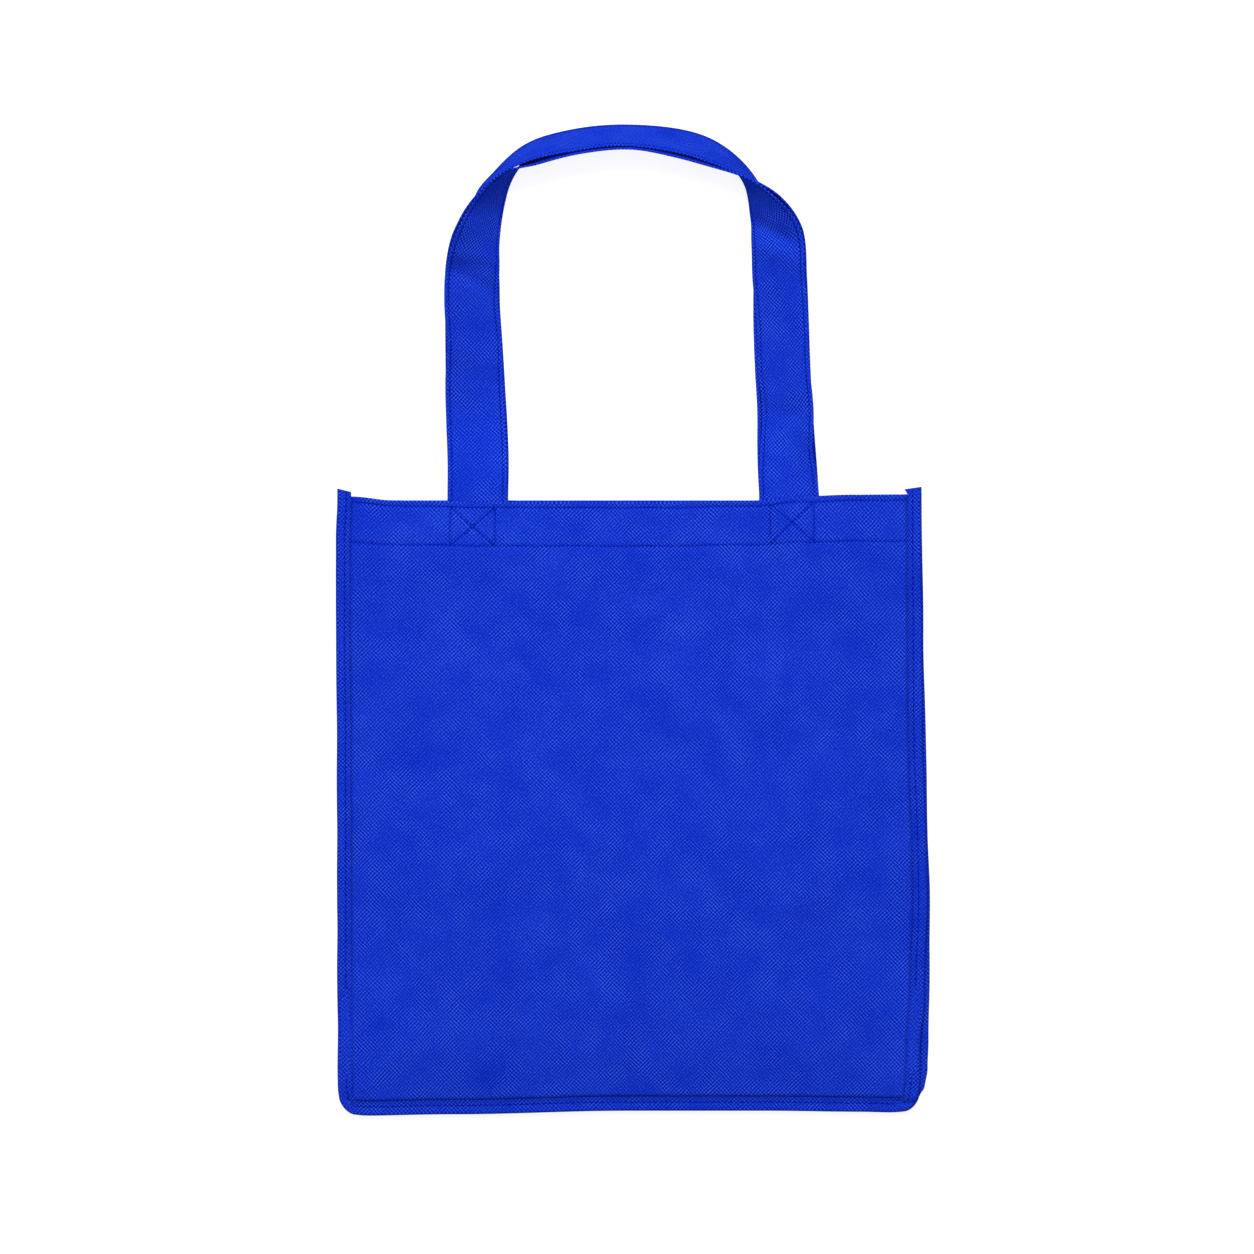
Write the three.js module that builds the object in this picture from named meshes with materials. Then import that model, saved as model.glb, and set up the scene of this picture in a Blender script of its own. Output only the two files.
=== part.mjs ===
// A non-woven carrier bag lying flat on its back panel, gussets folded in, both handles laid out in one arch.
// Millimetres. X runs across the bag, Y from the bottom seam to the handles, Z up from the table.
import * as THREE from "three";
import { mergeVertices } from "three/addons/utils/BufferGeometryUtils.js";

const { clamp, lerp, degToRad } = THREE.MathUtils;

// Driving sizes of the sewn bag
const panelWidth = 305;
const panelHeight = 328;
const gussetDepth = 127;
const hemDepth = 25;
const bindingWidth = 8;
const tabRise = 4;
const fabricThickness = 0.5;
const bindingThickness = 0.5;
const handleWidth = 32;
const handleThickness = 1.2;
const handleSpacing = 172.6;
const handleRise = 206;

// How the empty bag lies
const panelLoft = 8;
const loftReach = 84;
const bottomReach = 150;
const gussetLift = 1;
const gussetReach = 50;
const flangeReach = 15;
const hemRunIn = 15;
const handleRunOut = 60;

// Clearances
const clearance = 0.3;
const foldGap = 0.1;
const seamGap = 0.6;
const seamLineGap = 0.7;
const rootEndGap = 1;

// Layers of a bound seam, counted from the outside: binding, panel, gusset, binding
const halfWidth = panelWidth / 2;
const foldPitch = fabricThickness + foldGap;
const layerPitch = fabricThickness + clearance;
const panelLevel = bindingThickness + clearance + fabricThickness / 2;
const plainStack = 2 * (bindingThickness + fabricThickness) + 3 * clearance;
const seamAllowance = bindingWidth - plainStack / 2 - clearance;
const creaseRadius = (plainStack - layerPitch - panelLevel) + seamGap / 2;
const rootOffset = foldPitch + fabricThickness / 2 + clearance + handleThickness / 2;

// How far the laid-out edges stray from a true rectangle: [share of the way, millimetres]
const frontSideStray = [[0, -1.6], [0.07, -0.5], [0.18, 1.7], [0.33, 3.3], [0.66, 0.5], [1, 0]];
const backSideStray = [[0, 3], [0.1, 4.3], [0.3, 5], [0.53, 3], [0.78, 1.4], [1, 0]];
const bottomStray = [[-1, -2.4], [-0.64, -1.3], [0, 0.9], [0.5, 0.9], [1, -1.4]];
const topStray = [[-1, 1.5], [-0.85, 0], [0.45, 0], [0.64, 3.2], [1, 3.6]];

// Handle paths from the left root over the arch to the right root:
// [share of the half spacing, share of the rise, tilt in degrees, height of the low edge in strap widths]
const frontHandlePath = [
  [-0.97, 0.003, 0.8, 0.25], [-0.97, 0.105, 3.8, 0.125], [-0.98, 0.204, 8, 0.094],
  [-0.99, 0.311, 14.8, 0.1], [-0.99, 0.42, 23, 0.113], [-1.01, 0.53, 27, 0.163], [-1, 0.611, 26.2, 0.25],
  [-0.965, 0.701, 43, 0.297], [-0.885, 0.795, 63, 0.156], [-0.78, 0.863, 81.5, 0.031],
  [-0.608, 0.91, 101.8, 0.022], [-0.33, 0.947, 107.2, 0.022], [0.005, 0.962, 109, 0.022],
  [0.312, 0.943, 111.8, 0.022], [0.53, 0.91, 106, 0.025], [0.743, 0.852, 85, 0.081],
  [0.87, 0.771, 55, 0.219], [0.935, 0.701, 31, 0.312], [0.95, 0.595, 28.5, 0.219],
  [0.975, 0.464, 30.8, 0.15], [0.983, 0.35, 30.8, 0.131], [1.01, 0.24, 32.2, 0.119],
  [1, 0.124, 27.2, 0.125], [1.018, 0, 12, 0.25],
];
const backHandlePath = [
  [-0.965, 0, 3, 0.062], [-0.96, 0.101, 4.5, 0.022], [-0.968, 0.198, -0.8, 0.022],
  [-0.98, 0.286, 5.5, 0.022], [-0.99, 0.395, 15.2, 0.022], [-1, 0.512, 23.5, 0.022],
  [-1.005, 0.616, 27, 0.022], [-1.02, 0.708, 56, 0.022], [-0.994, 0.805, 86, 0.034],
  [-0.841, 0.878, 94.5, 0.056], [-0.633, 0.933, 105.5, 0.041], [-0.378, 0.962, 109.5, 0.025],
  [-0.06, 0.977, 109, 0.022], [0.352, 0.958, 112, 0.025], [0.565, 0.924, 108.5, 0.028],
  [0.78, 0.865, 94, 0.028], [0.91, 0.8, 74, 0.025], [0.953, 0.713, 36.2, 0.022], [0.96, 0.595, 27, 0.022],
  [0.965, 0.479, 22.2, 0.022], [0.975, 0.356, 22, 0.022], [0.99, 0.241, 22, 0.022], [1, 0.135, 12, 0.022],
  [1.015, 0.022, -1.5, 0.062],
];

const rise = (share) => Math.sin((Math.PI / 2) * clamp(share, 0, 1));

// A smooth value between the stations of a [share, value] list.
function along(stations, share) {
  const next = Math.max(1, stations.findIndex(([at]) => at >= share));
  const [[from, low], [to, high]] = share > 1 ? stations.slice(-2) : stations.slice(next - 1, next + 1);
  const part = clamp((share - from) / (to - from), 0, 1);
  return lerp(low, high, (1 - Math.cos(Math.PI * part)) / 2);
}

// Evenly spaced values from one end to the other, both included.
function spread(from, to, steps) {
  return Array.from({ length: steps + 1 }, (_, i) => lerp(from, to, i / steps));
}

// Angles of a half turn, without its two ends.
function halfTurn(steps) {
  return spread(Math.PI / 2, -Math.PI / 2, steps).slice(1, -1);
}

// The seams are thicker where they take in the folded hems.
function hemSpread(y) {
  return 2 * foldPitch * rise((y - panelHeight + hemDepth + hemRunIn) / hemRunIn);
}

const seamStack = (y) => plainStack + hemSpread(y);
const bagThickness = (y) => 2 * seamStack(y) + seamGap;

// The middle of the front panel's sheet, which bellies up between the seams.
function frontLevel(x, y) {
  const loft = panelLoft * rise((halfWidth - Math.abs(x)) / loftReach) * rise(y / bottomReach);
  return bagThickness(y) - panelLevel + loft;
}

// The middle of the back panel's sheet, flat on the table away from its seams.
function backLevel(x, y) {
  const inside = Math.min(halfWidth - Math.abs(x), y) / flangeReach;
  return lerp(panelLevel, fabricThickness / 2, rise(inside));
}

// The middle of the folded gusset, between its two halves.
function gussetLevel(x, y) {
  const lift = gussetLift * rise((halfWidth - Math.abs(x)) / gussetReach) * rise(y / bottomReach);
  return bagThickness(y) / 2 + lift;
}

// Moves a point of the true rectangle to where the empty bag's edges lie; share is 0 at the back, 1 in front.
function laidOut(x, y, z, share) {
  const side = clamp(x / halfWidth, 0, 1);
  const up = clamp(y / panelHeight, 0, 1);
  const across = clamp(x / halfWidth, -1, 1);
  const sideways = lerp(along(backSideStray, up), along(frontSideStray, up), share);
  const endways = along(bottomStray, across) * (1 - up) ** 3 + share * along(topStray, across) * up ** 6;
  return new THREE.Vector3(x + sideways * side ** 2, y + endways, z);
}

// A closed sheet: a box with one block between neighbouring stations, bent onto its middle surface.
function sheet(columns, rows, thickness, place) {
  const grid = columns.map((column) => rows.map((row) => place(column, row)));
  const [lastColumn, lastRow] = [columns.length - 1, rows.length - 1];
  const box = new THREE.BoxGeometry(lastColumn, lastRow, 1, lastColumn, lastRow, 1);
  const position = box.getAttribute("position");
  for (let i = 0; i < position.count; i += 1) {
    const c = Math.round(position.getX(i) + lastColumn / 2);
    const r = Math.round(position.getY(i) + lastRow / 2);
    const across = grid[Math.min(c + 1, lastColumn)][r].clone().sub(grid[Math.max(c - 1, 0)][r]);
    const lengthways = grid[c][Math.min(r + 1, lastRow)].clone().sub(grid[c][Math.max(r - 1, 0)]);
    const normal = across.cross(lengthways).normalize();
    const point = grid[c][r].clone().addScaledVector(normal, position.getZ(i) * thickness);
    position.setXYZ(i, point.x, point.y, point.z);
  }
  box.deleteAttribute("normal");
  box.deleteAttribute("uv");
  const merged = mergeVertices(box, 1e-4);
  merged.computeVertexNormals();
  return merged;
}

// Stations that every sewn piece shares, so that its layers stay parallel: across the bag, and down it.
const crossings = spread(-halfWidth, halfWidth, 14);
const belowHem = panelHeight - hemDepth - hemRunIn;
const heights = [panelHeight - hemDepth, ...spread(belowHem, 0, 10)];

// Stations across a panel, with its seam allowances.
function panelColumns() {
  return [-halfWidth - seamAllowance, ...crossings, halfWidth + seamAllowance];
}

// Stations of a hem from its raw edge over the fold: how far below the edge, and how far inward.
function hemStations() {
  const foldCentre = foldPitch / 2;
  const turned = [hemDepth, foldCentre].map((below) => ({ below, inward: foldPitch }));
  const fold = halfTurn(4).map((angle) => ({
    below: foldCentre * (1 - Math.cos(angle)),
    inward: foldCentre * (1 + Math.sin(angle)),
  }));
  return [...turned, ...fold, { below: foldCentre, inward: 0 }];
}

// Stations down a panel: its hem, then the sheet itself and the bottom allowance.
function panelRows() {
  const hem = hemStations().map(({ below, inward }) => ({ y: panelHeight - below, inward }));
  return [...hem, ...[...heights, -seamAllowance].map((y) => ({ y, inward: 0 }))];
}

// Trims the square corner of two seam allowances to an arc about the corner of the seams.
function trimmedCorner(x, y) {
  const beside = Math.max(Math.abs(x) - halfWidth, 0);
  const below = Math.max(-y, 0);
  const trim = beside > 0 && below > 0 ? Math.max(beside, below) / Math.hypot(beside, below) : 1;
  return [Math.sign(x) * (Math.abs(x) - beside * (1 - trim)), y + below * (1 - trim)];
}

function frontPanel() {
  return sheet(panelColumns(), panelRows(), fabricThickness, (column, row) => {
    const [x, y] = trimmedCorner(column, row.y);
    return laidOut(x, y, frontLevel(x, y) - row.inward, 1);
  });
}

function backPanel() {
  return sheet(panelColumns(), panelRows(), fabricThickness, (column, row) => {
    const [x, y] = trimmedCorner(column, row.y);
    return laidOut(x, y, backLevel(x, y) + row.inward, 0);
  });
}

// Stations along the gusset strip: down the left side, across the bottom and up the right side.
// way is the distance along the seam from the left end, inward the offset of the turned-in hem.
function gussetColumns() {
  const hem = hemStations().map(({ below, inward }) => ({ way: below, inward }));
  const end = [...hem, ...heights.map((y) => ({ way: panelHeight - y, inward: 0 }))];
  const bottom = crossings.slice(1, -1).map((x) => ({ way: panelHeight + halfWidth + x, inward: 0 }));
  const total = 2 * panelHeight + panelWidth;
  const otherEnd = end.map(({ way, inward }) => ({ way: total - way, inward })).reverse();
  return [...end, ...bottom, ...otherEnd];
}

// Stations across the gusset strip: front allowance, front half, crease, back half, back allowance.
// turn is the angle of the crease's half turn, a quarter turn either way on the two flat halves.
function gussetRows() {
  const creaseCentre = gussetDepth / 2 - creaseRadius;
  const depths = [-seamAllowance, ...spread(0, creaseCentre, 4)];
  const front = depths.map((depth) => ({ depth, turn: Math.PI / 2 }));
  const crease = halfTurn(4).map((turn) => ({ depth: creaseCentre + creaseRadius * Math.cos(turn), turn }));
  const back = depths.map((depth) => ({ depth, turn: -Math.PI / 2 })).reverse();
  return [...front, ...crease, ...back];
}

// The plan point at a depth inside the seam line, with mitred corners, cut back outside the seam.
function besideSeam(way, depth) {
  const total = 2 * panelHeight + panelWidth;
  const mitre = depth > 0 ? depth : depth * Math.SQRT1_2;
  const nearest = Math.min(way, total - way);
  const side = way < total / 2 ? -1 : 1;
  if (nearest > panelHeight) {
    const across = (way - total / 2) / halfWidth;
    return [across * (halfWidth - mitre), depth];
  }
  const up = 1 - nearest / panelHeight;
  const inset = up < 1e-9 ? mitre : depth;
  return [side * (halfWidth - inset), mitre + up * (panelHeight - mitre)];
}

function gusset() {
  return sheet(gussetColumns(), gussetRows(), fabricThickness, (column, row) => {
    const [x, y] = besideSeam(column.way, row.depth + column.inward * Math.cos(row.turn));
    const offset = (creaseRadius + column.inward) * Math.sin(row.turn);
    return laidOut(x, y, gussetLevel(x, y) + offset, (1 + Math.sin(row.turn)) / 2);
  });
}

// Stations along a binding: seam points and the outward direction there, swept round the two corners.
function bindingColumns() {
  const left = [panelHeight + tabRise, ...heights].map((y) => ({ x: -halfWidth, y, angle: Math.PI }));
  const sweep = spread(Math.PI, 1.5 * Math.PI, 6).slice(1, -1);
  const leftTurn = sweep.map((angle) => ({ x: -halfWidth, y: 0, angle }));
  const bottom = crossings.map((x) => ({ x, y: 0, angle: 1.5 * Math.PI }));
  const leftSide = [...left, ...leftTurn];
  const rightSide = leftSide.map(({ x, y, angle }) => ({ x: -x, y, angle: 3 * Math.PI - angle })).reverse();
  return [...leftSide, ...bottom, ...rightSide];
}

// A strip folded over both seam allowances; level gives the middle of its stack, share which panel it binds.
function binding(level, share) {
  const legs = spread(0, 1, 2);
  const upper = legs.map((reach) => ({ reach, turn: Math.PI / 2 }));
  const turns = halfTurn(4).map((turn) => ({ reach: 1, turn }));
  const lower = legs.map((reach) => ({ reach, turn: -Math.PI / 2 })).reverse();
  return sheet(bindingColumns(), [...upper, ...turns, ...lower], bindingThickness, (column, row) => {
    const radius = (seamStack(column.y) - bindingThickness) / 2;
    const centre = bindingWidth - bindingThickness / 2 - radius;
    const outward = lerp(seamLineGap, centre, row.reach) + radius * Math.cos(row.turn);
    const x = column.x + outward * Math.cos(column.angle);
    const y = column.y + outward * Math.sin(column.angle);
    return laidOut(x, y, level(column.y) + radius * Math.sin(row.turn), share);
  });
}

// A strap sewn inside the hem at both ends; its path leaves the hem, twists onto its edge and arches over.
function handle(path, rootLevel) {
  const half = handleSpacing / 2;
  const centreLine = new THREE.CatmullRomCurve3(
    path.map(([across, up]) => new THREE.Vector3(across * half, panelHeight + up * handleRise, 0)),
  );
  const pose = new THREE.CatmullRomCurve3(
    path.map(([, , tilt, low]) => new THREE.Vector3(tilt, low, 0)), false, "catmullrom");
  const rootRows = [hemDepth - rootEndGap, hemDepth / 2];
  const rows = [
    ...rootRows.map((below) => ({ at: 0, below })),
    ...spread(0, 1, 3 * (path.length - 1)).map((at) => ({ at, below: 0 })),
    ...rootRows.map((below) => ({ at: 1, below })).reverse(),
  ];
  const columns = spread(handleWidth / 2, -handleWidth / 2, 2);
  return sheet(columns, rows, handleThickness, (outward, { at, below }) => {
    const centre = centreLine.getPoint(at);
    const heading = centreLine.getTangent(at);
    const { x: tilt, y: low } = pose.getPoint(at);
    const free = clamp((centre.y - panelHeight) / handleRunOut, 0, 1);
    const angle = degToRad(tilt) * rise(free * 2);
    const x = centre.x - heading.y * outward * Math.cos(angle);
    const y = centre.y + heading.x * outward * Math.cos(angle) - below;
    const freeLevel = low * handleWidth + (handleWidth / 2 + outward) * Math.sin(angle);
    const level = lerp(rootLevel(x, Math.min(y, panelHeight)), freeLevel, rise(free) ** 2);
    return new THREE.Vector3(x, y, level);
  });
}

const frontRoot = (x, y) => frontLevel(x, y) - rootOffset;
const backRoot = (x, y) => backLevel(x, y) + rootOffset;
const backSeamLevel = (y) => seamStack(y) / 2;
const frontSeamLevel = (y) => bagThickness(y) - seamStack(y) / 2;

const pieces = {
  back_panel: backPanel(),
  back_handle: handle(backHandlePath, backRoot),
  gusset: gusset(),
  back_binding: binding(backSeamLevel, 0),
  front_panel: frontPanel(),
  front_handle: handle(frontHandlePath, frontRoot),
  front_binding: binding(frontSeamLevel, 1),
};

// The bag's own frame has its origin under the middle of everything, on the table.
const bag = new THREE.Group();
for (const [name, geometry] of Object.entries(pieces)) {
  const material = new THREE.MeshStandardMaterial({ color: 0x1634cd, roughness: 0.6, metalness: 0 });
  const mesh = new THREE.Mesh(geometry, material);
  mesh.name = name;
  bag.add(mesh);
}
const extent = new THREE.Box3().setFromObject(bag);
const middle = extent.getCenter(new THREE.Vector3());
bag.position.set(-middle.x, -middle.y, -extent.min.z);

export default bag;
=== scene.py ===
# Plain carrier bag of non-woven polypropylene, lying empty and flat on its back panel,
# both handles laid out in one arch. Lengths are millimetres of the sewn bag until a mesh is made:
# x runs across from the middle, y from the bottom seam towards the handles, z up from the table.
import math
import bpy
import numpy as np
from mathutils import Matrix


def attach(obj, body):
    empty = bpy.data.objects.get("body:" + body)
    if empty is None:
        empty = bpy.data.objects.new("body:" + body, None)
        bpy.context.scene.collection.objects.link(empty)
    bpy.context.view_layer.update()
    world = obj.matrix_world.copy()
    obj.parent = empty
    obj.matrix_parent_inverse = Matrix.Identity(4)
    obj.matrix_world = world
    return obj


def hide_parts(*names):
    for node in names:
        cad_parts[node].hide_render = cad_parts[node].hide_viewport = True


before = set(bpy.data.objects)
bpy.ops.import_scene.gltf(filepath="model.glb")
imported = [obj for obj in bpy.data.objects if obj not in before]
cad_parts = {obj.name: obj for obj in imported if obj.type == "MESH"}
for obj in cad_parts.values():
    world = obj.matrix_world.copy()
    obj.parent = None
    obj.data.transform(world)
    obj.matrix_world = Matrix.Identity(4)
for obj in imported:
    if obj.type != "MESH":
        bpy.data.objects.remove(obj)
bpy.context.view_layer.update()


# The back panel. One cut of point-bonded non-woven polypropylene, 0.4 mm thick and royal blue, its top edge
# turned in for the hem. It lies on the table, and its sides and bottom rise a little into the bound seam.
panel_width, panel_height, hem_depth = 305, 328, 25
half_width = panel_width / 2
cloth_thickness = 0.42
fold_pitch, plain_stack, seam_gap, panel_level = 0.6, 2.9, 0.6, 1.05
seam_allowance = 6.25
hem_ease = 60
frame_shift, metre = (-2.47, -262.32, 0), 1000
back_side_stray = [
    (0, -0.6), (0.02, 2), (0.05, 3.4), (0.1, 4.2), (0.3, 4.8), (0.53, 3), (0.78, 1.2), (1, 0.2)]
front_side_stray = [(0, -1.2), (0.03, -0.8), (0.08, -0.4), (0.18, 1.7), (0.33, 3.3), (0.66, 0.5), (1, 0.1)]
left_stray = [(0, 0), (0.3, -0.4), (0.6, -0.6), (0.8, -1.1), (0.93, -1.1), (1, -0.3)]
bottom_stray = [(-1, -2.4), (-0.64, -1.55), (0, 0.4), (0.5, 0.4), (0.83, -0.15), (1, -0.75)]
top_stray = [
    (-1, 2.1), (-0.85, 0), (-0.5, -1.0), (0.1, -1.2), (0.45, -0.1), (0.62, 2.2), (0.8, 3.1), (1, 3.3)]
corner_x, corner_y = 158, -6
hem_rows = (panel_height - 2.9, panel_height - 24.2)
strap_boxes = ((-98.2, -73.8), (77.2, 101.2))


def rise(share):
    return np.sin(np.pi / 2 * np.clip(share, 0, 1))


def ease(share):
    return (1 - np.cos(np.pi * np.clip(share, 0, 1))) / 2


def along(stations, share):
    """A smooth value between the stations of a (share, value) list."""
    at, value = np.array(stations, float).T
    share = np.clip(share, at[0], at[-1])
    k = np.clip(np.searchsorted(at, share), 1, len(at) - 1)
    return value[k - 1] + (value[k] - value[k - 1]) * ease((share - at[k - 1]) / (at[k] - at[k - 1]))


def seam_stack(y):
    return plain_stack + 2 * fold_pitch * ease((y - panel_height + hem_depth + hem_ease) / hem_ease)


def bag_thickness(y):
    return 2 * seam_stack(y) + seam_gap


def lay_out(x, y, z, share):
    """Moves points of the true rectangle to where the edges lie; share is 0 behind, 1 in front."""
    side, up = np.clip(x / half_width, 0, 1), np.clip(y / panel_height, 0, 1)
    sideways = (1 - share) * along(back_side_stray, up) + share * along(front_side_stray, up)
    leftwards = along(left_stray, up) * np.clip(-x / half_width, 0, 1) ** 2
    endways = along(bottom_stray, np.clip(x / half_width, -1, 1)) * (1 - up) ** 3
    endways = endways + share * along(top_stray, np.clip(x / half_width, -1, 1)) * up ** 6
    left_tuck = np.exp(-((x + corner_x) ** 2 + (y - corner_y) ** 2) / 70)
    right_tuck = np.exp(-((x - corner_x) ** 2 + (y - corner_y) ** 2) / 85)
    x, y = x + leftwards + 1.8 * left_tuck - 1.3 * right_tuck, y + 1.2 * left_tuck + right_tuck
    return np.stack(np.broadcast_arrays(x + sideways * side ** 2, y + endways, z), -1)


def nearness(x, y, line, reach):
    """1 on the line between two points and falling away to nothing beside it."""
    (x0, y0), (x1, y1) = line
    length = math.hypot(x1 - x0, y1 - y0)
    ux, uy = (x1 - x0) / length, (y1 - y0) / length
    run = np.clip((x - x0) * ux + (y - y0) * uy, 0, length)
    return np.exp(-((x - x0 - run * ux) ** 2 + (y - y0 - run * uy) ** 2) / reach ** 2)


def box_lines(left, right):
    """The two sides and the two diagonals sewn through the hem and a strap end."""
    top, low = hem_rows
    return [((left, low), (left, top)), ((right, low), (right, top)),
            ((left, top), (right, low)), ((left, low), (right, top))]


def needled(x, y):
    """1 on the rows of stitches of a hemmed panel, and nothing beside them."""
    reach = 0.7
    rows = sum(np.exp(-((y - row) / reach) ** 2) for row in hem_rows)
    boxes = sum(nearness(x, y, line, reach) for box in strap_boxes for line in box_lines(*box))
    return np.clip(rows + boxes, 0, 1)


def stations(start, *stretches):
    """Values from start through stretches of (end, step), each stretch evenly divided."""
    values = [start]
    for end, step in stretches:
        parts = max(1, round(abs(end - values[-1]) / step))
        values += list(np.linspace(values[-1], end, parts + 1)[1:])
    return np.array(values)


def panel_columns():
    out = half_width + seam_allowance
    return stations(-out, (-half_width, 2.1), (4 - half_width, 0.8), (-102, 2.4), (-70, 0.9), (73, 2.4),
                    (105, 0.9), (half_width - 4, 2.4), (half_width, 0.8), (out, 2.1))


def panel_rows():
    """y and inward offset of each row: the hem's raw edge, its fold and then down the sheet."""
    radius = fold_pitch / 2
    turned = stations(panel_height - hem_depth, (panel_height - radius, 1.6))
    turns = np.linspace(np.pi / 2, -np.pi / 2, 7)[1:-1]
    sheet = stations(panel_height - radius, (panel_height - hem_depth - 2, 0.8), (4, 2.4), (0, 0.8),
                     (-seam_allowance, 2.1))
    y = np.concatenate([turned, panel_height - radius * (1 - np.cos(turns)), sheet])
    inward = np.concatenate([turned * 0 + fold_pitch, radius * (1 + np.sin(turns)), sheet * 0])
    return y, inward


def trim_corner(x, y):
    """Rounds the square corner of two seam allowances about the corner of the seams."""
    beside, below = np.maximum(np.abs(x) - half_width, 0), np.maximum(-y, 0)
    square = (beside > 0) & (below > 0)
    trim = np.where(square, np.maximum(beside, below) / np.maximum(np.hypot(beside, below), 1e-9), 1)
    return np.sign(x) * (np.abs(x) - beside * (1 - trim)), y + below * (1 - trim)


def unevenness(x, y, seed, shortest, longest, height):
    """Soft random waves of the limp cloth, in millimetres."""
    dice = np.random.default_rng(seed)
    total = 0
    for _ in range(12):
        wave, way = dice.uniform(shortest, longest), dice.uniform(0, np.pi)
        start = dice.uniform(0, 2 * np.pi)
        run = x * np.cos(way) + y * np.sin(way)
        total = total + wave / longest * np.sin(run * 2 * np.pi / wave + start)
    return height * total / 3


def across_surface(grid):
    """Unit normals of a grid of points, from its columns and rows."""
    normal = np.cross(np.gradient(grid, axis=0), np.gradient(grid, axis=1))
    return normal / np.maximum(np.linalg.norm(normal, axis=-1, keepdims=True), 1e-12)


def show(name, points, faces, material, node, uv=None, dent_and_painted_shade=None):
    """Makes the mesh in metres in the part's frame, and lets it stand for its solid."""
    mesh = bpy.data.meshes.new(name)
    points = (np.asarray(points) + frame_shift) / metre
    mesh.from_pydata(points.tolist(), [], faces)
    if uv is not None:
        layer = mesh.uv_layers.new(name="weave")
        corners = np.empty(len(mesh.loops), np.int32)
        mesh.loops.foreach_get("vertex_index", corners)
        layer.data.foreach_set("uv", (uv[corners] / metre).astype(np.float32).ravel())
    # Painted shade, read by the cloth material to darken its colour.
    if dent_and_painted_shade is not None:
        darkened = mesh.attributes.new("dent_and_painted_shade", "FLOAT", "POINT")
        darkened.data.foreach_set("value", dent_and_painted_shade.astype(np.float32))
    mesh.materials.append(material)
    piece = bpy.data.objects.new(name, mesh)
    bpy.context.scene.collection.objects.link(piece)
    bpy.ops.object.select_all(action="DESELECT")
    piece.select_set(True)
    bpy.context.view_layer.objects.active = piece
    bpy.ops.object.shade_smooth_by_angle(angle=math.radians(50))
    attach(piece, "root")
    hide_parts(node)
    return piece


def cut_cloth(name, grid, thickness, material, node, dent_and_painted_shade=0):
    """A closed sheet about a grid of points on its middle; its last argument is 1 where shade is painted into
    the cloth's colour, along stitch dents and folded edges.
    """
    columns, rows = grid.shape[:2]
    offset = across_surface(grid) * (np.broadcast_to(thickness, (columns, rows)) / 2)[..., None]
    points = np.concatenate([(grid + offset).reshape(-1, 3), (grid - offset).reshape(-1, 3)])
    index = np.arange(columns * rows).reshape(columns, rows)
    quads = np.stack([index[:-1, :-1], index[1:, :-1], index[1:, 1:], index[:-1, 1:]], -1).reshape(-1, 4)
    border = np.concatenate([index[:, 0], index[-1, 1:], index[-2::-1, -1], index[0, -2::-1]])
    pairs = np.stack([border[:-1], border[1:]], -1)
    under = columns * rows
    rim = np.stack([pairs[:, 1], pairs[:, 0], pairs[:, 0] + under, pairs[:, 1] + under], -1)
    faces = np.concatenate([quads, quads[:, ::-1] + under, rim]).tolist()

    def run(line):
        return np.concatenate([[0], np.cumsum(np.linalg.norm(np.diff(line, axis=0), axis=1))])

    u, v = run(grid[:, rows // 2]), run(grid[columns // 2])
    uv = np.stack(np.broadcast_arrays(u[:, None], v[None, :]), -1).reshape(-1, 2)
    dent_and_painted_shade = np.broadcast_to(dent_and_painted_shade, (columns, rows)).ravel()
    return show(name, points, faces, material, node, np.concatenate([uv, uv]),
                np.concatenate([dent_and_painted_shade, dent_and_painted_shade]))


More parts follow.
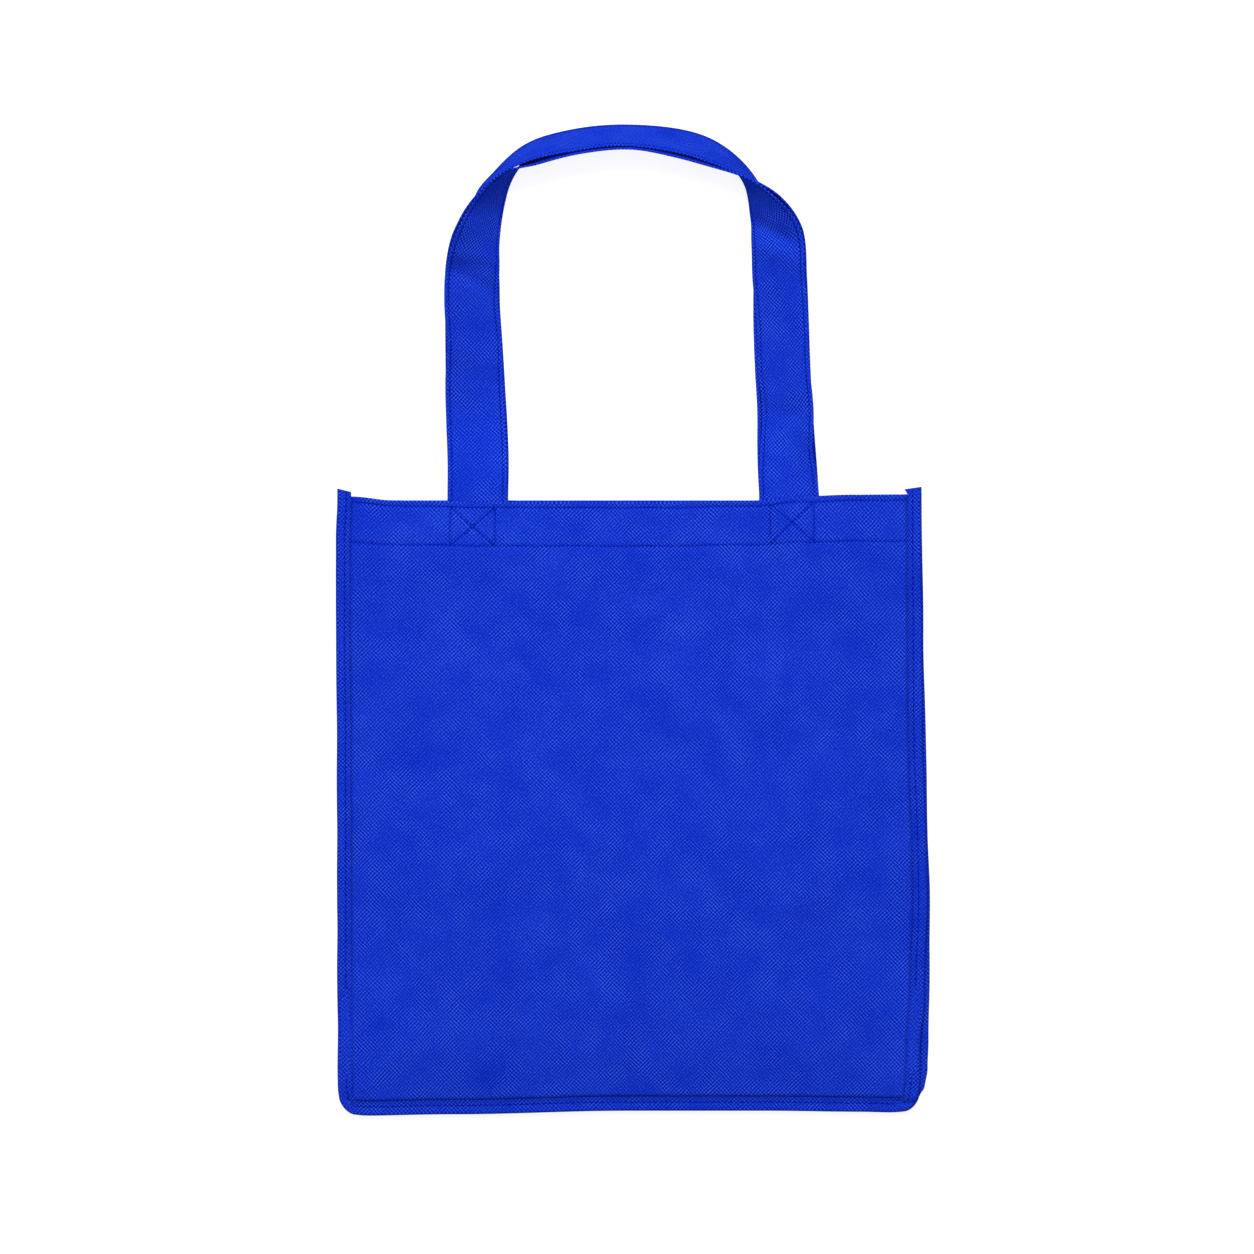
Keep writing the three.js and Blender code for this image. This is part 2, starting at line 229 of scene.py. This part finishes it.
def nonwoven(name, deep, plain, bright):
    """Bonded fibre cloth: slanting rows of pressed points, soft clouding and fine fibres, darkened with
    painted shade where the mesh's attribute is set.
    """
    point_pitch = 0.00156
    material = bpy.data.materials.new(name)
    material.use_nodes = True
    nodes, links = material.node_tree.nodes, material.node_tree.links
    shader = nodes["Principled BSDF"]

    def node(kind, **settings):
        made = nodes.new(kind)
        for key, value in settings.items():
            setattr(made, key, value)
        return made

    def join(value, socket):
        if isinstance(value, (int, float)):
            socket.default_value = value
        else:
            links.new(value, socket)

    def work(operation, a, b=0.0, c=None):
        made = node("ShaderNodeMath", operation=operation)
        join(a, made.inputs[0])
        join(b, made.inputs[1])
        if c is not None:
            join(c, made.inputs[2])
        return made.outputs[0]

    flat = node("ShaderNodeUVMap", uv_map="weave").outputs["UV"]

    def noise(scale, detail):
        made = node("ShaderNodeTexNoise", noise_dimensions="2D")
        links.new(flat, made.inputs["Vector"])
        made.inputs["Scale"].default_value = scale
        made.inputs["Detail"].default_value = detail
        return made.outputs["Fac"]

    split = node("ShaderNodeSeparateXYZ")
    links.new(flat, split.inputs[0])
    u, v = split.outputs["X"], split.outputs["Y"]
    turns = 2 * math.pi / (math.sqrt(2) * point_pitch)
    wander = work("MULTIPLY", noise(150, 2), 3.0)
    rising = work("SINE", work("MULTIPLY_ADD", work("ADD", u, v), turns, wander))
    falling = work("SINE", work("MULTIPLY_ADD", work("SUBTRACT", u, v), turns, wander))
    lean = work("MULTIPLY_ADD", noise(120, 1), 2.2, -0.6)
    lean = work("MINIMUM", work("MAXIMUM", lean, 0.38), 0.62)
    depth = work("MAXIMUM", work("MULTIPLY_ADD", noise(70, 2), 3.4, -0.6), 0.4)
    points = work("ADD", work("MULTIPLY", rising, lean),
                  work("MULTIPLY", falling, work("SUBTRACT", 1.0, lean)))
    points = work("MULTIPLY", points, depth)
    fibres = work("SUBTRACT", noise(1900, 2), 0.5)
    height = work("MULTIPLY_ADD", fibres, 1.6, points)
    cloud = work("SUBTRACT", noise(40, 3), 0.5)
    specks = work("SUBTRACT", noise(1100, 1), 0.5)
    tone = work("MULTIPLY_ADD", height, 0.36, 0.5)
    tone = work("MULTIPLY_ADD", cloud, 0.22, tone)
    tone = work("MULTIPLY_ADD", specks, 0.6, tone)
    # Painted shade: the tone drops where the mesh marks stitch dents and folded edges.
    painted_shade = node("ShaderNodeAttribute", attribute_name="dent_and_painted_shade").outputs["Fac"]
    tone = work("MULTIPLY_ADD", painted_shade, -0.16, tone)
    ramp = node("ShaderNodeValToRGB")
    links.new(tone, ramp.inputs["Fac"])
    ramp.color_ramp.elements[0].color = (*deep, 1)
    ramp.color_ramp.elements[1].color = (*bright, 1)
    ramp.color_ramp.elements.new(0.5).color = (*plain, 1)
    links.new(ramp.outputs["Color"], shader.inputs["Base Color"])
    links.new(work("MULTIPLY_ADD", height, 0.06, 0.6), shader.inputs["Roughness"])
    bump = node("ShaderNodeBump")
    bump.inputs["Strength"].default_value = 0.7
    bump.inputs["Distance"].default_value = 0.00006
    links.new(height, bump.inputs["Height"])
    links.new(bump.outputs["Normal"], shader.inputs["Normal"])
    shader.inputs["Specular IOR Level"].default_value = 0.0
    return material


royal_blue = nonwoven(
    "royal_blue_nonwoven", (0.0001, 0.0073, 0.28), (0.0042, 0.0223, 0.415), (0.028, 0.084, 0.60))


def back_level(x, y):
    inside = rise(np.minimum(half_width - np.abs(x), y) / 15)
    return panel_level + (cloth_thickness / 2 + 0.04 - panel_level) * inside


def back_sheet(x, y, inward):
    return lay_out(x, y, back_level(x, y) + 0.2 * needled(x, y) + inward, 0)


column = panel_columns()[:, None]
row, inward = panel_rows()
x, y = trim_corner(column, row[None, :])
# The stitch rows also get painted shade in the cloth's colour.
back_panel = cut_cloth("back_cloth", back_sheet(x, y, inward), cloth_thickness, royal_blue,
                       "back_panel", needled(x, y))


# The gusset. One strip 127 mm deep of the same cloth, sewn down the left side, across the bottom and up the
# right side, hemmed at both ends and folded inwards along its middle. The corners' spare cloth is mitred.
gusset_depth = 127
crease_radius = plain_stack - 0.8 - panel_level + seam_gap / 2


def gusset_level(x, y):
    lift = rise((half_width - np.abs(x)) / 50) * rise(y / 150)
    return bag_thickness(y) / 2 + lift


def beside_seam(way, depth):
    """The point at a depth inside the seam line, a way along it from the left end."""
    total = 2 * panel_height + panel_width
    mitre = np.where(depth > 0, depth, depth / math.sqrt(2))
    nearest = np.minimum(way, total - way)
    side = np.where(way < total / 2, -1, 1)
    up = 1 - nearest / panel_height
    inset = np.where(up < 1e-9, mitre, depth)
    on_side = nearest <= panel_height
    x = np.where(on_side, side * (half_width - inset), (way - total / 2) / half_width * (half_width - mitre))
    y = np.where(on_side, mitre + up * (panel_height - mitre), depth)
    return x, y


y_down, gusset_inward = panel_rows()
keep = y_down >= 0
left_way, left_inward = panel_height - y_down[keep], gusset_inward[keep]
bottom_way = panel_height + half_width + stations(-half_width, (half_width, 3))[1:-1]
total_way = 2 * panel_height + panel_width
way = np.concatenate([left_way, bottom_way, total_way - left_way[::-1]])
strip_inward = np.concatenate([left_inward, bottom_way * 0, left_inward[::-1]])
crease = gusset_depth / 2 - crease_radius
depth = stations(-seam_allowance, (0, 2.1), (crease, 3))
turn = np.linspace(np.pi / 2, -np.pi / 2, 9)[1:-1]
depths = np.concatenate([depth, crease + crease_radius * np.cos(turn), depth[::-1]])
turns = np.concatenate([depth * 0 + np.pi / 2, turn, depth * 0 - np.pi / 2])
x, y = beside_seam(way[:, None], depths[None, :] + strip_inward[:, None] * np.cos(turns))
offset = (crease_radius + strip_inward[:, None]) * np.sin(turns)
gusset_grid = lay_out(x, y, gusset_level(x, y) + offset, (1 + np.sin(turns)) / 2)
gusset = cut_cloth("gusset_cloth", gusset_grid, cloth_thickness, royal_blue, "gusset")


# The front panel. The mirror cut of the back panel, lying over the folded gusset. The cloth bellies up a
# little, is pressed over the strap ends, and shows the slanting edges of the gusset's folded corners.
loft, loft_reach, bottom_reach = 8, 84, 150
shoulder_height, shoulder_reach = 1.25, 1.3
fold_height, fold_end, fold_softness = 1.1, 63, 7
crease_height, crease_reach = 0.45, 2.6
strap_print, needle_dent = 0.35, 0.4
corner_creases = [((-144, 8), (-90, 61)), ((144, 8), (90, 61))]


def front_level(x, y):
    """The middle of the front sheet."""
    aside = half_width - np.abs(x)
    inside = np.clip(np.minimum(aside, y) / 25, 0, 1)
    shoulder = shoulder_height * rise(aside / shoulder_reach) * rise(y / shoulder_reach)
    belly = loft * rise(aside / loft_reach) * rise(y / bottom_reach)
    fold = fold_height / (1 + np.exp((y - fold_end) / fold_softness)) * rise(y / 30)
    waves = unevenness(x, y, 11, 35, 120, 0.45) * inside
    creases = sum(crease_height * nearness(x, y, line, crease_reach) for line in corner_creases)
    straps = sum(np.exp(-((x - (a + b) / 2) / 19) ** 6) for a, b in strap_boxes)
    pressed = strap_print * straps * np.clip((y - panel_height + 34) / 10, 0, 1)
    level = bag_thickness(y) - panel_level + belly + shoulder + fold + waves + creases + pressed
    return level - needle_dent * needled(x, y)


def front_sheet(x, y, inward):
    return lay_out(x, y, front_level(x, y) - inward, 1)


x, y = trim_corner(column, row[None, :])
# The stitch rows also get painted shade in the cloth's colour.
front_panel = cut_cloth("front_cloth", front_sheet(x, y, inward), cloth_thickness, royal_blue,
                        "front_panel", needled(x, y))


# The handles. Each is a strip of the cloth folded in three to 32 mm and stitched along both edges, its ends
# sewn inside the hem. They lie nested in one arch, the straps turned onto their edges where they curve.
strap_width, strap_thickness, strap_spacing, strap_rise = 32, 1.15, 172.6, 206
front_path = [
    (-0.97, 0.003, 0.8, 8), (-0.97, 0.105, 3.8, 4), (-0.98, 0.204, 8, 3), (-0.99, 0.311, 14.8, 3.2),
    (-0.99, 0.42, 23, 3.6), (-1.01, 0.53, 27, 5.2), (-1, 0.611, 26.2, 8), (-0.965, 0.701, 43, 9.5),
    (-0.885, 0.795, 61.8, 5), (-0.78, 0.863, 80, 1), (-0.608, 0.91, 101.8, 0.7), (-0.33, 0.947, 107.2, 0.7),
    (0.005, 0.962, 109, 0.7), (0.312, 0.943, 111.8, 0.7), (0.53, 0.91, 106, 0.8), (0.743, 0.852, 85, 2.6),
    (0.87, 0.771, 55, 7), (0.935, 0.701, 31, 10), (0.95, 0.595, 28.5, 7), (0.975, 0.464, 30.8, 4.8),
    (0.983, 0.35, 30.8, 4.2), (1.01, 0.24, 32.2, 3.8), (1, 0.124, 27.2, 4), (1.018, 0, 12, 8)]
back_path = [
    (-0.965, 0, 3, 2), (-0.96, 0.101, 4.5, 0.7), (-0.968, 0.198, -0.8, 0.7), (-0.98, 0.286, 5.5, 0.7),
    (-0.99, 0.395, 15.2, 0.7), (-1, 0.512, 23.5, 0.7), (-1.005, 0.616, 27, 0.7), (-1.02, 0.708, 56, 0.7),
    (-0.989, 0.803, 89, 1.1), (-0.837, 0.8757, 96.5, 1.8), (-0.633, 0.931, 107.5, 1.3),
    (-0.378, 0.9595, 112, 0.8), (-0.06, 0.9745, 111.5, 0.7), (0.352, 0.9555, 114.3, 0.8),
    (0.565, 0.922, 111, 0.9),
    (0.7765, 0.863, 95.5, 0.9), (0.91, 0.8, 74, 0.8), (0.953, 0.713, 36.2, 0.7), (0.96, 0.595, 27, 0.7),
    (0.965, 0.479, 22.2, 0.7), (0.975, 0.356, 22, 0.7), (0.99, 0.241, 22, 0.7), (1, 0.135, 12, 0.7),
    (1.015, 0.022, -1.5, 2)]
strap_sections = np.array([16.4, 16.25, 15.9, 15.3, 14.8, 14.4, 14, 13.6, 13.1, 11.2, 8.4, 5.6, 2.8])
strap_sections = np.concatenate([strap_sections, [0], -strap_sections[::-1]])
strap_row, strap_stations = 14, 276
front_folds = [
    ((-95.7, 454.3), (-71.8, 441.7), -1.3, 3.5), ((-97.7, 464), (-71.3, 460), 1.1, 4),
    ((-90, 487), (-66, 494), -1.6, 6),
    ((-93.8, 412.5), (-72.9, 404), 0.6, 5), ((-97.7, 398.8), (-74, 391.6), -0.6, 5),
    ((67, 483), (87, 471), -2.5, 4), ((66, 468), (94, 459.5), 1.4, 5),
    ((80, 383), (100, 389), 0.5, 4.5), ((79, 377), (101, 374), -0.6, 4), ((84, 367), (102, 365), 0.5, 4)]
root_offset = 1.75


def smooth_path(points, share, power):
    """A Catmull-Rom curve through points, centripetal at power 0.25 and even at 0."""
    points = np.asarray(points, float)
    points = np.vstack([2 * points[0] - points[1], points, 2 * points[-1] - points[-2]])
    place = np.clip(share, 0, 1) * (len(points) - 3)
    k = np.minimum(place.astype(int), len(points) - 4)
    s = (place - k)[:, None]
    a, b, c, d = (points[k + i] for i in range(4))
    e, f, g = ((((q - p) ** 2).sum(1) ** power)[:, None] for p, q in ((a, b), (b, c), (c, d)))
    t = ((b - a) / e - (c - a) / (e + f) + (c - b) / f) * f
    w = ((c - b) / f - (d - b) / (f + g) + (d - c) / g) * f
    return b + t * s + (3 * (c - b) - 2 * t - w) * s ** 2 + (2 * (b - c) + t + w) * s ** 3


def strap_surface(path, root_level, across, share, below):
    """Points on the middle of a strap; across runs outwards from its middle, below down into the hem."""
    path = np.array(path, float)
    plan = path[:, :2] * (strap_spacing / 2, strap_rise) + (0, panel_height)
    centre = smooth_path(plan, share, 0.25)
    heading = smooth_path(plan, share + 1e-4, 0.25) - smooth_path(plan, share - 1e-4, 0.25)
    heading /= np.linalg.norm(heading, axis=1, keepdims=True)
    tilt, low = smooth_path(path[:, 2:], share, 0).T
    free = np.clip((centre[:, 1] - panel_height) / 60, 0, 1)
    angle = np.radians(tilt) * rise(free * 2)
    outward = np.asarray(across)[:, None]
    x = centre[:, 0] - heading[:, 1] * outward * np.cos(angle)
    y = centre[:, 1] + heading[:, 0] * outward * np.cos(angle) - below
    lifted = low + (strap_width / 2 + outward) * np.sin(angle)
    rooted = root_level(x, np.minimum(y, panel_height))
    return np.stack([x, y, rooted + (lifted - rooted) * rise(free) ** 2], -1)


def front_root(x, y):
    return front_level(x, y) - root_offset


def back_root(x, y):
    return back_level(x, y) + root_offset


def strap(name, path, root_level, node, folds=()):
    """The strap as one band with rounded folds, thinner where the two rows of stitches draw it in."""
    root = stations(hem_depth - 1, (0, 2))[:-1]
    share = np.concatenate([root * 0, np.linspace(0, 1, strap_stations), root * 0 + 1])
    below = np.concatenate([root, np.zeros(strap_stations), root[::-1]])
    grid = strap_surface(path, root_level, strap_sections, share, below)
    for start, end, height, reach in folds:
        grid[..., 2] += height * nearness(grid[..., 0], grid[..., 1], (start, end), reach)
    edge = np.abs(strap_sections)
    rounding = np.interp(edge, [15.3, 15.9, 16.25, 16.4], [1, 0.93, 0.68, 0.3])
    dent_and_painted_shade = np.exp(-((edge - strap_row) / 0.6) ** 2)
    thickness = (strap_thickness * rounding - 0.35 * dent_and_painted_shade)[:, None]
    # Painted shade on the stitch rows and along the strap's rolled edges.
    dent_and_painted_shade = np.maximum(dent_and_painted_shade, 0.8 * (edge > 16))[:, None]
    piece = cut_cloth(name, grid, thickness, royal_blue, node, dent_and_painted_shade)
    faces = across_surface(grid) * (thickness / 2)[..., None]
    return piece, grid, faces


back_strap, back_strap_grid, back_strap_faces = strap("back_strap", back_path, back_root, "back_handle")
front_strap, front_strap_grid, front_strap_faces = strap(
    "front_strap", front_path, front_root, "front_handle", front_folds)


# The bindings. Two strips of the cloth, each folded over an outward seam and sewn through about 3 mm from its
# inner edge; they sweep round both bottom corners with a small pleat and stand 4 mm above the hem as tabs.
binding_width, binding_thickness, tab_rise = 8, 0.45, 4
binding_row, inner_edge = 3.17, 0.35
columns_a_side = 12
corner_pinches = [
    ((-154, -2.6), (-153.7, -6.6), -1.2, 0.8), ((-154.2, -3), (-157, -0.9), -1.0, 0.8),
    ((147.4, -1.7), (151.5, -4.2), -1.3, 0.8), ((151.5, -4.2), (156.5, -3), -1.3, 0.8),
    ((152.5, 3.2), (155.5, 0.5), 1.2, 2.2)]
binding_blue = nonwoven(
    "binding_blue_nonwoven", (0.0001, 0.0068, 0.27), (0.0038, 0.0205, 0.395), (0.024, 0.073, 0.57))


def binding_stations():
    """Seam points and the outward direction there, down the left, round the corners and up the right."""
    down = stations(panel_height + tab_rise, (panel_height - 40, 1.5), (0, 2.6))
    sweep = np.linspace(np.pi, 1.5 * np.pi, 15)[1:-1]
    cross = stations(-half_width, (half_width, 2.6))
    x = np.concatenate([down * 0 - half_width, sweep * 0 - half_width, cross, sweep * 0 + half_width,
                        down * 0 + half_width])
    y = np.concatenate([down, sweep * 0, cross * 0, sweep * 0, down[::-1]])
    angle = np.concatenate([down * 0 + np.pi, sweep, cross * 0 + 1.5 * np.pi, sweep + np.pi / 2,
                            down * 0 + 2 * np.pi])
    return x, y, angle


def binding(name, level, share, node):
    x, y, angle = (values[:, None] for values in binding_stations())
    bend = np.linspace(np.pi / 2, -np.pi / 2, 9)[1:-1]
    reach = np.concatenate([np.linspace(0, 1, columns_a_side), np.ones(len(bend)),
                            np.linspace(1, 0, columns_a_side)])
    turn = np.concatenate([np.ones(columns_a_side) * np.pi / 2, bend, -np.ones(columns_a_side) * np.pi / 2])
    radius = (seam_stack(y) - 0.5) / 2
    centre = binding_width - 0.25 - radius
    outward = inner_edge + (centre - inner_edge) * reach + radius * np.cos(turn)
    run = np.arange(len(x))[:, None]
    tab = np.clip((y - panel_height) / tab_rise, 0, 1)
    right = (x > 0) * share
    outward = outward - 1.8 * right * tab * (1 - reach)
    seen = share * np.clip(np.sin(turn), 0, 1)
    curl = 0.5 * seen * np.exp(-((outward - inner_edge) / 0.8) ** 2)
    dent_and_painted_shade = np.exp(-((outward - binding_row) / 0.55) ** 2)
    grid = lay_out(x + outward * np.cos(angle), y + outward * np.sin(angle),
                   level(y) + (radius + curl - 0.3 * dent_and_painted_shade) * np.sin(turn), share)
    grid[..., 1] += tab * (0.25 - 0.1 * right) * (outward - 5.5)
    grid[..., 0] += 0.2 * np.sin(run * 0.31 + share) * (1 - y / panel_height) * np.abs(np.cos(angle)) * reach
    for start, end, height, wide in corner_pinches:
        grid[..., 2] += height * seen * nearness(grid[..., 0], grid[..., 1], (start, end), wide)
    # Painted shade on the stitch row and along the binding's folded outer edge.
    dent_and_painted_shade = np.maximum(dent_and_painted_shade, 0.7 * (np.cos(turn) > 0.8))
    return cut_cloth(name, grid, binding_thickness, binding_blue, node, dent_and_painted_shade), grid


back_binding, back_binding_grid = binding("back_tape", lambda y: seam_stack(y) / 2, 0, "back_binding")
front_binding, front_binding_grid = binding(
    "front_tape", lambda y: bag_thickness(y) - seam_stack(y) / 2, 1, "front_binding")


# The sewing. Spun polyester thread, darker than the cloth partly in its own blue and partly by painted shade
# of the needle holes, in stitches about 2 mm long: two hem rows and a crossed box at each strap end, a row
# along each strap edge and one through each binding.
thread = bpy.data.materials.new("blue_thread")
thread.use_nodes = True
thread_shader = thread.node_tree.nodes["Principled BSDF"]
thread_shader.inputs["Roughness"].default_value = 0.6
thread_shader.inputs["Specular IOR Level"].default_value = 0.0
thread_twist = thread.node_tree.nodes.new("ShaderNodeTexNoise")
thread_place = thread.node_tree.nodes.new("ShaderNodeTexCoord")
thread_twist.inputs["Scale"].default_value = 700
# The thread's dark blues are partly its own colour and partly painted shade of the needle holes.
thread_ramp = thread.node_tree.nodes.new("ShaderNodeValToRGB")
thread_ramp.color_ramp.elements[0].color = (0.0001, 0.002, 0.09, 1)
thread_ramp.color_ramp.elements[1].color = (0.0006, 0.006, 0.2, 1)
thread.node_tree.links.new(thread_place.outputs["Object"], thread_twist.inputs["Vector"])
thread.node_tree.links.new(thread_twist.outputs["Fac"], thread_ramp.inputs["Fac"])
thread.node_tree.links.new(thread_ramp.outputs["Color"], thread_shader.inputs["Base Color"])
thread_dice = np.random.default_rng(5)


def sew(name, runs, node, pitch=2.3, length=1.75):
    """Joined rows of stitches: each run is points on a surface and the outward normals there."""
    width, height, lift, sunk, cap = 0.55, 0.15, 0.07, 0.1, 0.24
    angles = np.radians(np.arange(0, 360, 60))
    points, faces = [], []
    for line, normals in runs:
        reach = np.concatenate([[0], np.cumsum(np.linalg.norm(np.diff(line, axis=0), axis=1))])
        for k in range(int(reach[-1] / pitch)):
            middle = (k + 0.5) * pitch + thread_dice.normal(0, 0.05)
            half = length / 2 * thread_dice.uniform(0.9, 1.08)
            ends = np.array([middle - half, middle + half])
            a, b = (np.array([np.interp(at, reach, line[:, i]) for i in range(3)]) for at in ends)
            up = np.array([np.interp(middle, reach, normals[:, i]) for i in range(3)])
            along_stitch = (b - a) / max(np.linalg.norm(b - a), 1e-9)
            side = np.cross(up, along_stitch) + along_stitch * thread_dice.normal(0, 0.03)
            ring = [side * math.cos(t) * width / 2 + up * (math.sin(t) * height + lift) for t in angles]
            start = len(points)
            points.append(a - up * sunk)
            points += [a + (b - a) * cap + r for r in ring]
            points += [a + (b - a) * (1 - cap) + r for r in ring]
            points.append(b - up * sunk)
            for i in range(6):
                j = (i + 1) % 6
                faces.append([start, start + 1 + j, start + 1 + i])
                faces.append([start + 1 + i, start + 1 + j, start + 7 + j, start + 7 + i])
                faces.append([start + 13, start + 7 + i, start + 7 + j])
    return show(name, points, faces, thread, node)


def panel_runs(sheet, outside):
    """The hem rows and boxes on a panel's outer face; outside is 1 for up, -1 for down."""
    top, low = hem_rows
    lines = [((-half_width, top), (half_width, top)), ((-half_width, low), (half_width, low))]
    lines += [line for box in strap_boxes for line in box_lines(*box)]
    runs = []
    for (x0, y0), (x1, y1) in lines:
        steps = max(2, int(math.hypot(x1 - x0, y1 - y0) / 1.5))
        at = np.linspace(0, 1, steps)
        x, y = x0 + (x1 - x0) * at, y0 + (y1 - y0) * at + 0.25 * np.sin((x0 + (x1 - x0) * at) / 6)
        around = np.stack([sheet(x + dx, y, 0) for dx in (-0.5, 0, 0.5)])
        beside = np.stack([sheet(x, y + dy, 0) for dy in (-0.5, 0, 0.5)])
        normal = np.cross(around[2] - around[0], beside[2] - beside[0])
        normal *= outside / np.linalg.norm(normal, axis=1, keepdims=True)
        runs.append((around[1] + normal * cloth_thickness / 2, normal))
    return runs


def strap_runs(grid, faces):
    """The two edge rows on both faces of a strap, outside the hem."""
    rows = [int(np.argmin(np.abs(strap_sections - at))) for at in (strap_row, -strap_row)]
    inside_hem = 13
    free = slice(inside_hem, grid.shape[1] - inside_hem)
    runs = []
    for r in rows:
        for way in (1, -1):
            normal = faces[r, free] / np.linalg.norm(faces[r, free], axis=1, keepdims=True) * way
            runs.append((grid[r, free] + faces[r, free] * way, normal))
    return runs


def binding_runs(grid):
    """The row on both outer faces of a binding; the grid's own normals point into its fold."""
    normal = across_surface(grid)
    runs = []
    for r in (5, -6):
        runs.append((grid[:, r] - normal[:, r] * binding_thickness / 2, -normal[:, r]))
    return runs


sew("front_hem_stitches", panel_runs(front_sheet, 1), "front_panel")
sew("back_hem_stitches", panel_runs(back_sheet, -1), "back_panel")
sew("front_strap_stitches", strap_runs(front_strap_grid, front_strap_faces), "front_handle")
sew("back_strap_stitches", strap_runs(back_strap_grid, back_strap_faces), "back_handle")
sew("front_tape_stitches", binding_runs(front_binding_grid), "front_binding", 3.2, 2.3)
sew("back_tape_stitches", binding_runs(back_binding_grid), "back_binding", 3.2, 2.3)


# The studio. A white, faintly glowing sheet under the bag, a broad soft box overhead, a stronger one beyond
# the handles, weak even light all round, and a camera with a long lens straight above.
bpy.ops.mesh.primitive_plane_add(size=8, location=(0, 0, 0))
floor = bpy.context.object
floor.name = "floor"
white = bpy.data.materials.new("white_floor")
white.use_nodes = True
white_shader = white.node_tree.nodes["Principled BSDF"]
white_shader.inputs["Base Color"].default_value = (0.3, 0.3, 0.3, 1)
white_shader.inputs["Roughness"].default_value = 0.9
white_shader.inputs["Emission Color"].default_value = (1, 1, 1, 1)
white_shader.inputs["Emission Strength"].default_value = 0.82
floor.data.materials.append(white)

scene = bpy.context.scene
scene.view_settings.view_transform = "Standard"
world = bpy.data.worlds.new("studio")
scene.world = world
world.use_nodes = True
world.node_tree.nodes["Background"].inputs["Color"].default_value = (1, 1, 1, 1)
world.node_tree.nodes["Background"].inputs["Strength"].default_value = 0.13

soft_boxes = [("overhead", 2.4, 32, (0, 0, 2.4)), ("beyond_the_handles", 1.4, 80, (-0.2, 1.55, 2.1))]
for name, size, power, place in soft_boxes:
    lamp = bpy.data.objects.new(name, bpy.data.lights.new(name, "AREA"))
    scene.collection.objects.link(lamp)
    lamp.data.size = size
    lamp.data.energy = power
    lamp.location = place
    lamp.rotation_euler = (-lamp.location).to_track_quat("-Z", "Y").to_euler()
    lamp.visible_camera = False

camera = bpy.data.objects.new("camera", bpy.data.cameras.new("camera"))
scene.collection.objects.link(camera)
camera_height, view_width = 12, 0.69
camera.location = (-0.0039, -0.0038, camera_height)
camera.data.lens = camera.data.sensor_width * camera_height / view_width
scene.camera = camera
